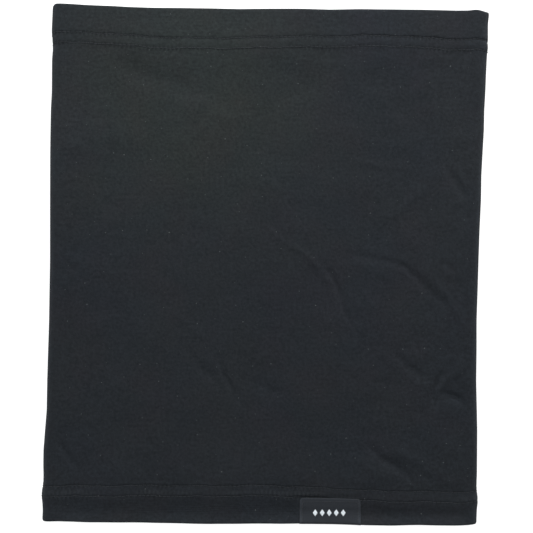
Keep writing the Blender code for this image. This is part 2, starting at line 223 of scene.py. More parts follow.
def crease_relief(x, y):
    """Height that the creases add at each point."""
    out = np.zeros_like(x)
    x, y = (x + waves(x, y, [(0.45, 37.0, 29.0, 0.5), (0.30, 13.0, -17.0, 2.0)]),
            y + waves(x, y, [(0.45, -31.0, 43.0, 1.5), (0.30, 15.0, 12.0, 0.2)]))
    for pts, amp, width in CREASES:
        pts = np.array(pts)
        seg = np.diff(pts, axis=0)
        length = np.hypot(seg[:, 0], seg[:, 1])
        start = np.concatenate([[0.0], np.cumsum(length)])
        near = np.full(x.shape, 1e9)
        where = np.zeros_like(x)
        reach = 4.0 * width
        box = ((x > pts[:, 0].min() - reach) & (x < pts[:, 0].max() + reach)
               & (y > pts[:, 1].min() - reach) & (y < pts[:, 1].max() + reach))
        if not box.any():
            continue
        bx, by = x[box], y[box]
        bn, bw = near[box], where[box]
        for k in range(len(seg)):
            t = ((bx - pts[k, 0]) * seg[k, 0] + (by - pts[k, 1]) * seg[k, 1])
            t = np.clip(t / length[k] ** 2, 0, 1)
            d = np.hypot(bx - pts[k, 0] - t * seg[k, 0],
                         by - pts[k, 1] - t * seg[k, 1])
            closer = d < bn
            bn = np.where(closer, d, bn)
            bw = np.where(closer, start[k] + t * length[k], bw)
        along = bw / start[-1]
        taper = np.sin(np.pi * np.clip(along, 0.0, 1.0)) ** 0.55
        uneven = 1 + 0.22 * np.sin(bw / 6.5 + start[-1]) * np.sin(bw / 3.1)
        out[box] += (CREASE_GAIN * amp * uneven * taper
                     * np.exp(-(bn / width) ** 2))
    return out


CREASE_GAIN = 1.02
field_rng = np.random.default_rng(5)
CRUMPLES = []
for wave_length in np.geomspace(9.0, 46.0, 26):
    turn = field_rng.uniform(0, math.pi)
    CRUMPLES.append((0.0015 * wave_length ** 1.02,
                     wave_length / max(abs(math.cos(turn)), 1e-3)
                     * math.copysign(1, math.cos(turn)),
                     wave_length / max(abs(math.sin(turn)), 1e-3),
                     field_rng.uniform(0, 2 * math.pi)))


def crumple_relief(x, y):
    """The slight unevenness of a light knit that has been folded and unpacked,
    a little stronger towards the right-hand fold."""
    more = 0.75 + 0.45 / (1 + np.exp(-(x - 55.0) / 18.0))
    return more * waves(x, y, CRUMPLES)


def fold_height_left(y):
    return 8.1 + waves(0 * y, y, [(0.45, 1, 190.0, 0.7), (0.25, 1, 71.0, 2.1)])


def fold_height_right(y):
    return 10.2 + waves(0 * y, y, [(0.25, 1, 160.0, 1.9), (0.12, 1, 58.0, 0.4)])


def front_height(x, y):
    """Height of the front layer's outer face above the back layer's."""
    hl, hr = fold_height_left(y), fold_height_right(y)
    dl = x - (left_x(y) + hl / 2)
    dr = (right_x(y) - hr / 2) - x
    end = np.minimum(152.0 - y, y + 152.0)
    hemness = np.exp(-(np.maximum(end, 0.0) / 34.0) ** 2)
    # a low swell where the hems' inner edge lies, falling away to each mouth
    mid = 6.0 + 1.15 * np.exp(-((end - 25.0) / 16.0) ** 2)
    mid = mid + waves(x, y, [(0.28, 140.0, 210.0, 0.4), (0.20, 88.0, -130.0, 2.2),
                             (0.13, -61.0, 74.0, 4.0)])
    mid = mid + hemness * waves(x, 0 * y, [(0.45, 128.0, 1e9, 1.0),
                                           (0.25, 67.0, 1e9, 2.6)])
    gl = np.exp(-(dl / 30.0) ** 2)
    gr = np.exp(-(dr / 42.0) ** 2)
    h = mid + (hl - mid) * gl + (hr - mid) * gr
    calm = np.clip(dl / 7.0, 0, 1) * np.clip(dr / 7.0, 0, 1)
    calm = calm * calm * (3 - 2 * calm)
    hem = np.clip((end - 21.0) / 7.0, 0.12, 1.0)     # hems lie flatter
    return h + calm * (hem * crease_relief(x, y)
                       + np.minimum(hem * 2, 1) * crumple_relief(x, y))


# -------------------------------------------------------------- the tube's loop
BACK, RIGHT, FRONT, LEFT = 0, 1, 2, 3


def loop_stations(back, fold, front):
    """Stations once round the tube: (which part, place along it)."""
    kind, v = [], []
    for i in range(back):
        kind.append(BACK), v.append(i / (back - 1))
    for i in range(1, fold):
        kind.append(RIGHT), v.append(-math.pi / 2 + math.pi * i / fold)
    for i in range(front):
        kind.append(FRONT), v.append(1 - i / (front - 1))
    for i in range(1, fold):
        kind.append(LEFT), v.append(math.pi / 2 - math.pi * i / fold)
    return np.array(kind), np.array(v)


def section(kind, v, y, depth):
    """Points at height y, this far inside the tube's outer face."""
    x0, x1 = left_x(y), right_x(y)
    rl, rr = fold_height_left(y) / 2, fold_height_right(y) / 2
    x = x0 + rl + (x1 - rr - x0 - rl) * v
    z = np.zeros_like(x)
    front = kind == FRONT
    back = kind == BACK
    right = kind == RIGHT
    left = kind == LEFT
    z = np.where(back, BACK_Z + depth, z)
    fz = np.zeros_like(x)
    if front.any():
        fz[front] = front_height(x[front], y[front])
    z = np.where(front, BACK_Z + fz - depth, z)
    # the seam line on the right-hand fold is drawn in by the overlock
    dent = 0.55 * np.exp(-(v * rr / 0.55) ** 2) * (depth < 0.85)
    rd = rr - depth - dent
    x = np.where(right, x1 - rr + rd * np.cos(v), x)
    z = np.where(right, BACK_Z + rr + rd * np.sin(v), z)
    ld = rl - depth
    x = np.where(left, x0 + rl - ld * np.cos(v), x)
    z = np.where(left, BACK_Z + rl + ld * np.sin(v), z)
    return x, z


def plan_x(kind, v, y):
    """The station's place in plan, on the tube's outer face."""
    x0, x1 = left_x(y), right_x(y)
    rl, rr = fold_height_left(y) / 2, fold_height_right(y) / 2
    x = x0 + rl + (x1 - rr - x0 - rl) * v
    x = np.where(kind == RIGHT, x1 - rr + rr * np.cos(v), x)
    return np.where(kind == LEFT, x0 + rl - rl * np.cos(v), x)


def corner_drop(from_fold, radius):
    """How far a rounded corner falls short of the straight end."""
    t = np.clip(1 - from_fold / radius, 0, 1)
    return radius * (1 - np.sqrt(1 - t * t))


def end_line(kind, v, end):
    """Height of the folded end above or below each station."""
    guess = np.full(v.shape, 149.5 if end == "top" else -151.0)
    x = plan_x(kind, v, guess)
    from_left = x - left_x(guess)
    from_right = right_x(guess) - x
    if end == "top":
        return (top_y(x) + 0.10 - corner_drop(from_left, 2.0)
                - corner_drop(from_right, 0.7))
    return (bottom_y(x) + 0.50 + corner_drop(from_left, 0.6)
            + corner_drop(from_right, 0.4))


def row_shift(x, end, value):
    """How far in or out the hem's rows have wandered, this far in from its
    fold.  The fold itself stays put."""
    t = min(1.0, max(0.0, (value - 3.0) / 11.0))
    phase = 0.6 if end == "top" else 2.3
    fine = (0.26 * np.sin(2 * np.pi * x / 33.0 + phase)
            + 0.15 * np.sin(2 * np.pi * x / 14.3 + 2 * phase)
            + 0.07 * np.sin(2 * np.pi * x / 6.3 + 3 * phase))
    return (wander[end](x) + fine) * t * t * (3 - 2 * t)


def bell(a, centre, width):
    return np.exp(-((a - centre) / width) ** 2)


def puff(a, end, x):
    """How deep the rows pull in, less how far the doubled hem stands out."""
    if end == "top":
        rows = (0.29 * TIGHT_EDGE(x) * bell(a, ROW_EDGE, 0.70)
                + 0.15 * TIGHT_BODY(x) * bell(a, ROW_BODY, 0.65)
                + 0.04 * bell(a, 23.9, 0.5))
        raised = 0.20 * bell(a, 18.9, 2.3)
        hem = 0.26 * np.clip((ROW_EDGE - a) / 2.0, 0, 1) ** 0.5
    else:
        rows = (0.20 * bell(a, ROW_EDGE, 0.60) + 0.32 * bell(a, ROW_BODY, 0.70)
                + 0.16 * bell(a, 24.0, 0.55))
        raised = 0.34 * bell(a, 16.8, 3.2)
        hem = 0.22 * np.clip((ROW_EDGE - a) / 2.0, 0, 1) ** 0.5
    return rows - hem - raised


def label_pull(x, y):
    """The label's stitching draws the hem in along its top edge and sides."""
    x0, x1, top = float(label_lo[0]), float(label_hi[0]), float(label_hi[1])
    across = (1 / (1 + np.exp(-(x - x0 + 1.0) / 0.7))
              / (1 + np.exp((x - x1 - 1.0) / 0.7)))
    above = 0.58 * across * bell(y, top + 1.0, 1.1)
    left = 0.45 * bell(x, x0 - 2.6, 3.0) * bell(y, top - 6.0, 6.5)
    right = 0.60 * bell(x, x1 + 3.4, 4.2) * bell(y, top - 4.0, 6.5)
    return above + left + right


LIP = {"top": (-0.15, 5.0), "bottom": (2.15, 6.3)}


def lip_lift(x, y, end, value):
    """The front layer's mouth: the bottom hem dips and then curls up a little at
    its very end, as jersey does; the top hem stays nearly straight."""
    high, reach = LIP[end]
    t = max(0.0, 1 - max(value, 0.0) / reach)
    rise = high * t * t
    if end == "bottom":
        rise -= 0.60 * math.exp(-((value - 7.0) / 5.0) ** 2)
    clear = np.clip(np.minimum(x - left_x(y), right_x(y) - x) / 16.0, 0, 1)
    uneven = 1 + 0.22 * np.sin(2 * np.pi * x / 57.0 + 0.7) \
        + 0.12 * np.sin(2 * np.pi * x / 23.0)
    if end == "bottom":            # the label stiffens the hem it wraps
        stiff = 1 / (1 + np.exp(-(x - label_lo[0]) / 2.0)) \
            / (1 + np.exp((x - label_hi[0]) / 2.0))
        uneven = uneven * (1 - 0.72 * stiff) * (1.0 + 0.25 * np.tanh(x / 40.0))
    return rise * uneven * clear * clear * (3 - 2 * clear)


def cloth(kind, v, where, value, depth, skin=True):
    """Points of the cloth.  where is 'top' or 'bottom', with value the distance
    in from that folded end, or 'body', with value from 0 to 1 between the hems.
    skin adds the relief of the hems to the outer face."""
    kind, v = np.asarray(kind), np.asarray(v, float)
    lo, hi = end_line(kind, v, "bottom"), end_line(kind, v, "top")
    xg = plan_x(kind, v, np.full(v.shape, 0.0))
    if where == "body":
        a0 = lo + 30.0 + row_shift(xg, "bottom", 30.0)
        a1 = hi - 30.0 - row_shift(xg, "top", 30.0)
        y = a0 + (a1 - a0) * value
        x, z = section(kind, v, y, depth)
        return np.stack([x, y + 0 * x, z], axis=-1)
    inset = value + row_shift(xg, where, value)
    y = hi - inset if where == "top" else lo + inset
    extra = 0.0
    if skin:
        extra = puff(max(value, 1.2), where, xg)
        # small gathers between the stitches
        arc = np.where(kind == BACK, -xg, xg)
        wave = waves(arc, y, [(0.06, 8.3, 60.0, 0.3), (0.05, 5.1, -47.0, 1.1)])
        extra = extra + wave * math.exp(-((value - 17.0) / 9.0) ** 2)
        # underneath, the hem's swell is pressed flat by the surface it lies on
        extra = np.where(kind == BACK, np.maximum(extra, -0.30), extra)
        if where == "bottom":
            extra = extra + np.where(kind == FRONT, label_pull(xg, y), 0.0)
    x, z = section(kind, v, y, depth + extra)
    z = z + np.where(kind == FRONT, lip_lift(x, y, where, value), 0.0)
    return np.stack([x, y + 0 * x, z], axis=-1)


# ------------------------------------------------------------------ mesh helpers
def grid_mesh(name, points, close_a, close_b, mat, uv=None, weld=False):
    """A mesh from a grid of points (n, m, 3), closed round either way."""
    n, m = points.shape[:2]
    verts = points.reshape(-1, 3) * MM
    ja = np.arange(n if close_a else n - 1)
    ib = np.arange(m if close_b else m - 1)
    jj, ii = np.meshgrid(ja, ib, indexing="ij")
    j1, i1 = (jj + 1) % n, (ii + 1) % m
    quads = np.stack([jj * m + ii, jj * m + i1, j1 * m + i1, j1 * m + ii],
                     axis=-1).reshape(-1, 4)
    uvs = None
    if uv is not None:
        U, V = uv        # U has n+1 entries, V has m+1
        u0, u1 = U[jj], U[jj + 1]
        v0, v1 = V[ii], V[ii + 1]
        uvs = np.stack([np.stack([u0, v0], -1), np.stack([u0, v1], -1),
                        np.stack([u1, v1], -1), np.stack([u1, v0], -1)],
                       axis=-2).reshape(-1, 4, 2)
    a, b, c, d = (verts[quads[:, k]] for k in range(4))
    vol = (np.einsum("ij,ij->i", a, np.cross(b, c)).sum()
           + np.einsum("ij,ij->i", a, np.cross(c, d)).sum())
    if vol < 0:
        quads = quads[:, ::-1]
        if uvs is not None:
            uvs = uvs[:, ::-1]
    return make_mesh(name, verts, quads, mat, uvs, weld)


def make_mesh(name, verts, quads, mat, uvs=None, weld=False):
    mesh = bpy.data.meshes.new(name)
    nv, nf = len(verts), len(quads)
    mesh.vertices.add(nv)
    mesh.vertices.foreach_set("co", np.asarray(verts, np.float32).ravel())
    loops = quads.size
    mesh.loops.add(loops)
    mesh.loops.foreach_set("vertex_index", quads.astype(np.int32).ravel())
    mesh.polygons.add(nf)
    mesh.polygons.foreach_set("loop_start",
                              np.arange(0, loops, 4, dtype=np.int32))
    if uvs is not None:
        layer = mesh.uv_layers.new(name="cloth")
        layer.data.foreach_set("uv", uvs.astype(np.float32).ravel())
    mesh.update(calc_edges=True)
    if weld:
        bm = bmesh.new()
        bm.from_mesh(mesh)
        bmesh.ops.remove_doubles(bm, verts=bm.verts, dist=1e-6)
        bm.to_mesh(mesh)
        bm.free()
    mesh.validate()
    mesh.shade_smooth()
    mesh.materials.append(mat)
    obj = bpy.data.objects.new(name, mesh)
    bpy.context.scene.collection.objects.link(obj)
    return obj


def tube_mesh(name, strands, radius, mat, sides=6, taper=True):
    """Round threads, each swept along its own row of points.  strands is a list
    of (n, 3) arrays; all of one length.  Ends are closed to a point."""
    strands = np.asarray(strands, float)              # (k, n, 3)
    k, n = strands.shape[:2]
    tan = np.gradient(strands, axis=1)
    tan /= np.linalg.norm(tan, axis=-1, keepdims=True) + 1e-12
    up = np.zeros_like(tan)
    up[..., 2] = 1.0
    flat = np.abs(tan[..., 2]) > 0.95
    up[flat] = (0.0, 1.0, 0.0)
    side = np.cross(tan, up)
    side /= np.linalg.norm(side, axis=-1, keepdims=True) + 1e-12
    nor = np.cross(side, tan)
    ang = np.arange(sides) * 2 * np.pi / sides
    r = np.full(n, radius)
    if taper:
        r[0] = r[-1] = radius * 0.35
    ring = (strands[:, :, None, :]
            + r[None, :, None, None]
            * (np.cos(ang)[None, None, :, None] * side[:, :, None, :]
               + np.sin(ang)[None, None, :, None] * nor[:, :, None, :]))
    verts = ring.reshape(-1, 3)
    kk, jj, ii = np.meshgrid(np.arange(k), np.arange(n - 1), np.arange(sides),
                             indexing="ij")
    i1 = (ii + 1) % sides
    base = kk * n * sides
    quads = np.stack([base + jj * sides + ii, base + jj * sides + i1,
                      base + (jj + 1) * sides + i1, base + (jj + 1) * sides + ii],
                     axis=-1).reshape(-1, 4)
    caps = []
    for end in (0, n - 1):                      # fans of quads close the ends
        b = (np.arange(k) * n + end) * sides
        for s in range(0, sides - 2, 2):
            q = np.stack([b, b + s + 1, b + s + 2, b + (s + 3) % sides], -1)
            caps.append(q if end else q[:, ::-1])
    quads = np.concatenate([quads] + caps)
    a, b_, c, d = (verts[quads[:, q]] for q in range(4))
    vol = (np.einsum("ij,ij->i", a, np.cross(b_, c)).sum()
           + np.einsum("ij,ij->i", a, np.cross(c, d)).sum())
    if vol < 0:
        quads = quads[:, ::-1]
    return make_mesh(name, verts * MM, quads, mat)


# --------------------------------------------------------------------- materials
class Nodes:
    """Short hand for building a node tree."""

    def __init__(self, name):
        self.mat = bpy.data.materials.new(name)
        self.mat.use_nodes = True
        self.nt = self.mat.node_tree
        self.bsdf = self.nt.nodes["Principled BSDF"]

    def new(self, kind, **props):
        n = self.nt.nodes.new(kind)
        for k, val in props.items():
            setattr(n, k, val)
        return n

    def link(self, a, b):
        self.nt.links.new(a, b)

    def put(self, socket, value):
        if isinstance(value, bpy.types.NodeSocket):
            self.link(value, socket)
        else:
            socket.default_value = value

    def math(self, op, a, b=0.0, c=0.0, clamp=False):
        n = self.new("ShaderNodeMath", operation=op, use_clamp=clamp)
        for s, val in zip(n.inputs, (a, b, c)):
            self.put(s, val)
        return n.outputs[0]

    def noise(self, vector, scale, detail=2.0, rough=0.5, dims="3D"):
        n = self.new("ShaderNodeTexNoise", noise_dimensions=dims)
        self.put(n.inputs["Vector"], vector)
        n.inputs["Scale"].default_value = scale
        n.inputs["Detail"].default_value = detail
        n.inputs["Roughness"].default_value = rough
        return n.outputs["Fac"]

    def span(self, value, a0, a1, b0, b1, smooth=False):
        n = self.new("ShaderNodeMapRange")
        if smooth:
            n.interpolation_type = "SMOOTHSTEP"
        self.put(n.inputs["Value"], value)
        for key, val in zip(("From Min", "From Max", "To Min", "To Max"),
                            (a0, a1, b0, b1)):
            n.inputs[key].default_value = val
        return n.outputs["Result"]

    def mix(self, fac, a, b, blend="MIX"):
        n = self.new("ShaderNodeMix", data_type="RGBA", blend_type=blend)
        self.put(n.inputs[0], fac)
        self.put(n.inputs[6], (*a, 1.0) if isinstance(a, tuple) else a)
        self.put(n.inputs[7], (*b, 1.0) if isinstance(b, tuple) else b)
        return n.outputs[2]

    def bump(self, height, strength, distance, normal=None):
        n = self.new("ShaderNodeBump")
        self.put(n.inputs["Height"], height)
        n.inputs["Strength"].default_value = strength
        n.inputs["Distance"].default_value = distance
        if normal is not None:
            self.link(normal, n.inputs["Normal"])
        return n.outputs["Normal"]

    def position(self):
        return self.new("ShaderNodeTexCoord").outputs["Object"]

    def uv(self):
        n = self.new("ShaderNodeUVMap")
        n.uv_map = "cloth"
        return n.outputs["UV"]

    def split(self, vector):
        n = self.new("ShaderNodeSeparateXYZ")
        self.link(vector, n.inputs[0])
        return n.outputs


def jersey(name, base, with_uv=True, rows_at=(), stitch_highlight_at=()):
    """Black single jersey: wales of small Vs, a short nap, a mottled dye, and
    specks of pale lint, with painted shade in the wales' valleys and a painted
    pool of light high on the left.  rows_at is where the stitch rows cross the
    cloth: each stitch there gathers the knit a little, and its shade is painted
    in as a dark tick.  The last argument is where painted highlights of the
    stitches lie beside a row."""
    m = Nodes(name)
    pos = m.position()
    if with_uv:
        coord = m.uv()                                   # millimetres of cloth
        u, v, _ = m.split(coord)
    else:
        scaled = m.new("ShaderNodeVectorMath", operation="SCALE")
        m.link(pos, scaled.inputs[0])
        scaled.inputs["Scale"].default_value = 1000.0
        coord = scaled.outputs[0]
        u, v, _ = m.split(coord)
    wale, course = 0.95, 0.72
    wu = m.math("DIVIDE", u, wale)
    fr = m.math("FRACT", wu)
    side = m.math("MULTIPLY", m.math("ABSOLUTE", m.math("SUBTRACT", fr, 0.5)), 2.0)
    leg = m.math("SUBTRACT", 1.0,
                 m.math("POWER", m.math("SUBTRACT",
                                        m.math("MULTIPLY", side, 2.0), 1.0), 2.0))
    phase = m.math("ADD", m.math("DIVIDE", v, course),
                   m.math("MULTIPLY", side, 0.55))
    yarn = m.math("MULTIPLY_ADD", m.math("SINE", m.math("MULTIPLY", phase,
                                                        2 * math.pi)), 0.5, 0.5)
    knit = m.math("MULTIPLY", leg, m.math("MULTIPLY_ADD", yarn, 0.6, 0.4))
    nap = m.noise(pos, 2600.0, 3.0, 0.7)
    mottle = m.noise(pos, 620.0, 3.0, 0.62)
    patch = m.noise(pos, 24.0, 2.0, 0.5)
    streak_v = m.new("ShaderNodeMapping")
    m.link(pos, streak_v.inputs["Vector"])
    streak_v.inputs["Scale"].default_value = (60.0, 900.0, 60.0)
    streak = m.noise(streak_v.outputs["Vector"], 1.0, 2.0, 0.5)

    dark = tuple(c * 0.68 for c in base)
    pale = tuple(c * 1.38 for c in base)
    col = m.mix(m.span(mottle, 0.30, 0.72, 0.0, 1.0), dark, pale)
    col = m.mix(m.span(patch, 0.35, 0.68, 0.0, 0.55),
                col, m.mix(1.0, col, (0.86, 0.93, 1.05), "MULTIPLY"))
    col = m.mix(m.span(streak, 0.40, 0.70, 0.0, 0.35),
                col, m.mix(1.0, col, (0.84, 0.85, 0.86), "MULTIPLY"))
    # the dye takes a little warmer in places
    warm = m.noise(pos, 38.0, 3.0, 0.55)
    col = m.mix(m.span(warm, 0.46, 0.64, 0.0, 0.75),
                col, m.mix(1.0, col, (1.10, 0.99, 1.01), "MULTIPLY"))
    # painted pool of light: a brighter, slightly greener patch high on the left, where
    # the light falls strongest
    where = m.new("ShaderNodeVectorMath", operation="DISTANCE")
    m.link(pos, where.inputs[0])
    where.inputs[1].default_value = (-0.045, 0.105, 0.006)
    painted_light_pool = m.span(where.outputs["Value"], 0.010, 0.125, 0.90, 0.0, smooth=True)
    col = m.mix(painted_light_pool, col, m.mix(1.0, col, (1.34, 1.40, 1.11), "MULTIPLY"))
    # painted shade: the valleys between wales are darker, where shade falls into them
    col = m.mix(m.span(knit, 0.0, 0.6, 0.30, 0.0), col, (0.004, 0.005, 0.006))
    # lint: a few pale specks, at random places on the cloth
    vor = m.new("ShaderNodeTexVoronoi", voronoi_dimensions="2D",
                feature="F1")
    m.link(coord, vor.inputs["Vector"])
    vor.inputs["Scale"].default_value = 1.0 / 11.0
    vor.inputs["Randomness"].default_value = 1.0
    picked = m.split(vor.outputs["Color"])
    size = m.math("MULTIPLY_ADD", picked[1], 0.016, 0.010)
    ragged = m.math("MULTIPLY_ADD", nap, 0.012, vor.outputs["Distance"])
    speck = m.math("LESS_THAN", ragged, m.math("ADD", size, 0.006))
    speck = m.math("MULTIPLY", speck, m.math("GREATER_THAN", picked[0], 0.42))
    tone = m.math("MULTIPLY", speck, m.math("MULTIPLY_ADD", picked[2], 0.70, 0.20))
    col = m.mix(tone, col, (0.105, 0.112, 0.112))
    # painted shade: a dark tick at each stitch of the hem rows, the shade of the knit
    # gathered there; the same mask also bumps the gather
    stitch_gather_shade = None
    for v0 in rows_at:
        near = m.span(m.math("ABSOLUTE", m.math("SUBTRACT", v, float(v0))),
                      0.5, 2.5, 1.0, 0.0, smooth=True)
        stitch_gather_shade = near if stitch_gather_shade is None else m.math("MAXIMUM", stitch_gather_shade, near)
    if stitch_gather_shade is not None:
        each = m.math("MULTIPLY_ADD",
                      m.math("SINE", m.math("MULTIPLY", u, 2 * math.pi / STITCH)),
                      0.5, 0.5)
        patchy = m.span(m.noise(pos, 34.0, 2.0, 0.5), 0.42, 0.58, 0.15, 1.0)
        stitch_gather_shade = m.math("MULTIPLY", m.math("MULTIPLY", stitch_gather_shade, each), patchy)
        col = m.mix(m.math("MULTIPLY", stitch_gather_shade, 0.52), col, (0.004, 0.005, 0.006))
    # painted highlights: short pale strokes beside the bottom hem's edge row, one at
    # each stitch, where the gathered knit catches the light
    for v0 in stitch_highlight_at:
        near = m.span(m.math("ABSOLUTE", m.math("SUBTRACT", v, float(v0))),
                      0.5, 2.2, 1.0, 0.0, smooth=True)
        stitch_highlight = m.math("MULTIPLY", m.math("MULTIPLY", near, each), patchy)
        col = m.mix(m.math("MULTIPLY", stitch_highlight, 0.46), col, (0.030, 0.033, 0.036))
    m.link(col, m.bsdf.inputs["Base Color"])
    rough = m.span(mottle, 0.25, 0.75, 0.86, 0.97)
    m.link(rough, m.bsdf.inputs["Roughness"])
    m.bsdf.inputs["Specular IOR Level"].default_value = 0.06
    m.bsdf.inputs["Sheen Weight"].default_value = 0.06
    m.bsdf.inputs["Sheen Roughness"].default_value = 0.55
    m.bsdf.inputs["Sheen Tint"].default_value = (0.80, 0.88, 1.0, 1.0)
    n1 = m.bump(knit, 0.80, 0.00024)
    n2 = m.bump(mottle, 0.55, 0.00035, n1)
    n3 = m.bump(nap, 0.35, 0.00012, n2)
    if stitch_gather_shade is not None:
        n3 = m.bump(stitch_gather_shade, 0.6, 0.00030, n3)
    m.link(n3, m.bsdf.inputs["Normal"])
    return m.mat


def thread_material(name, base, twist=900.0, sheen=0.05, rough=0.68,
                    gloss=0.14):
    """Sewing thread: a twisted ply with a soft shine."""
    m = Nodes(name)
    pos = m.position()
    wave = m.new("ShaderNodeTexWave", wave_type="BANDS", bands_direction="DIAGONAL")
    m.link(pos, wave.inputs["Vector"])
    wave.inputs["Scale"].default_value = twist
    wave.inputs["Distortion"].default_value = 2.0
    fuzz = m.noise(pos, 3000.0, 2.0, 0.6)
    dark = tuple(c * 0.62 for c in base)
    pale = tuple(min(1.0, c * 1.35) for c in base)
    col = m.mix(wave.outputs["Fac"], dark, pale)
    col = m.mix(m.span(fuzz, 0.3, 0.7, 0.0, 0.5), col, base)
    m.link(col, m.bsdf.inputs["Base Color"])
    m.link(m.span(fuzz, 0.3, 0.7, rough - 0.08, rough + 0.10),
           m.bsdf.inputs["Roughness"])
    m.bsdf.inputs["Specular IOR Level"].default_value = gloss
    m.bsdf.inputs["Sheen Weight"].default_value = sheen
    m.link(m.bump(wave.outputs["Fac"], 0.5, 0.00008), m.bsdf.inputs["Normal"])
    return m.mat


def woven_material(name, base, ends=0.26, picks=0.20, sheen=0.06, rough=0.78,
                   edge_highlights=None, gloss=0.14):
    """Woven label tape: fine ribs of warp and weft, from object space."""
    m = Nodes(name)
    pos = m.position()
    x, y, z = m.split(pos)
    xm = m.math("MULTIPLY", x, 1000.0)
    ym = m.math("MULTIPLY", y, 1000.0)
    warp = m.math("SINE", m.math("MULTIPLY", xm, 2 * math.pi / ends))
    weft = m.math("SINE", m.math("MULTIPLY", ym, 2 * math.pi / picks))
    weave = m.math("MULTIPLY", warp, weft)
    rib = m.math("MULTIPLY_ADD", weft, 0.35, m.math("MULTIPLY", weave, 0.65))
    fuzz = m.noise(pos, 1500.0, 3.0, 0.6)
    soft = m.noise(pos, 160.0, 2.0, 0.5)
    dark = tuple(c * 0.66 for c in base)
    pale = tuple(min(1.0, c * 1.28) for c in base)
    col = m.mix(m.span(rib, -1.0, 1.0, 0.0, 1.0), dark, pale)
    col = m.mix(m.span(fuzz, 0.3, 0.7, 0.0, 0.45), col, base)
    col = m.mix(m.span(soft, 0.35, 0.7, 0.0, 0.30), col,
                m.mix(1.0, col, (0.82, 0.84, 0.88), "MULTIPLY"))
    if edge_highlights:
        # painted highlight: a lighter band down each side edge of the tape, where its
        # raised edges catch the light
        x0, x1, inset, width = edge_highlights
        for xe in (x0 + inset, x1 - inset):
            d = m.math("ABSOLUTE", m.math("SUBTRACT", xm, xe))
            line = m.span(d, width * 0.4, width, 0.55, 0.0, smooth=True)
            col = m.mix(line, col, tuple(min(1.0, c * 1.6) for c in base))
    m.link(col, m.bsdf.inputs["Base Color"])
    m.link(m.span(fuzz, 0.3, 0.7, rough - 0.08, rough + 0.10),
           m.bsdf.inputs["Roughness"])
    m.bsdf.inputs["Specular IOR Level"].default_value = gloss
    m.bsdf.inputs["Sheen Weight"].default_value = sheen
    n1 = m.bump(rib, 0.5, 0.00006)
    m.link(m.bump(fuzz, 0.3, 0.00006, n1), m.bsdf.inputs["Normal"])
    return m.mat


def floor_material(name):
    m = Nodes(name)
    pos = m.position()
    n = m.noise(pos, 3.0, 2.0, 0.5)
    m.link(m.mix(n, (0.34, 0.34, 0.34), (0.355, 0.355, 0.355)),
           m.bsdf.inputs["Base Color"])
    m.bsdf.inputs["Roughness"].default_value = 0.9
    m.bsdf.inputs["Specular IOR Level"].default_value = 0.1
    m.bsdf.inputs["Emission Color"].default_value = (1.0, 1.0, 1.0, 1.0)
    m.bsdf.inputs["Emission Strength"].default_value = 0.84
    return m.mat


CLOTH_BASE = (0.0127, 0.0147, 0.0170)
MAT_JERSEY_IN = jersey("jersey_knit_allowance", CLOTH_BASE, with_uv=False)
MAT_NEEDLE = thread_material("needle_thread", (0.0172, 0.0198, 0.0228))
MAT_LOOPER = thread_material("looper_thread", (0.018, 0.020, 0.022), 700.0, 0.08,
                             0.80)
# the label's two side edges carry painted highlights
MAT_LABEL = woven_material("woven_label", (0.0168, 0.0196, 0.0242),
                           edge_highlights=(label_lo[0], label_hi[0], 0.75, 0.8))
MAT_LABEL_THREAD = thread_material("label_thread", (0.026, 0.028, 0.032))
MAT_MOTIF = woven_material("label_motif_thread", (0.62, 0.66, 0.70), 0.30, 0.16,
                           0.10, 0.55)
MAT_CARE = woven_material("care_label_satin", (0.60, 0.60, 0.58), 0.16, 0.42,
                          0.25, 0.38, gloss=0.45)


# --------------------------------------------------------------------- the cloth
def half_turn(radius, steps, inner_first):
    """(inset, depth) pairs over a folded end."""
    out = []
    for i in range(steps + 1):
        a = math.pi * i / steps
        out.append((EDGE_R - radius * math.sin(a), EDGE_R + radius * math.cos(a)))
    return out if inner_first else out[::-1]


def hem_insets():
    """Distances in from the folded end at which the outer face is sampled."""
    out = list(np.arange(1.9, 14.0, 1.25))
    for row in (ROW_EDGE, ROW_BODY):
        out += [row + d for d in (-1.3, -0.8, -0.5, -0.25, 0.0, 0.25, 0.5, 0.8,
                                  1.3)]
    out += [18.1, 19.0, 19.8, 24.2, 25.4, 26.8, 28.3]
    return sorted(out)


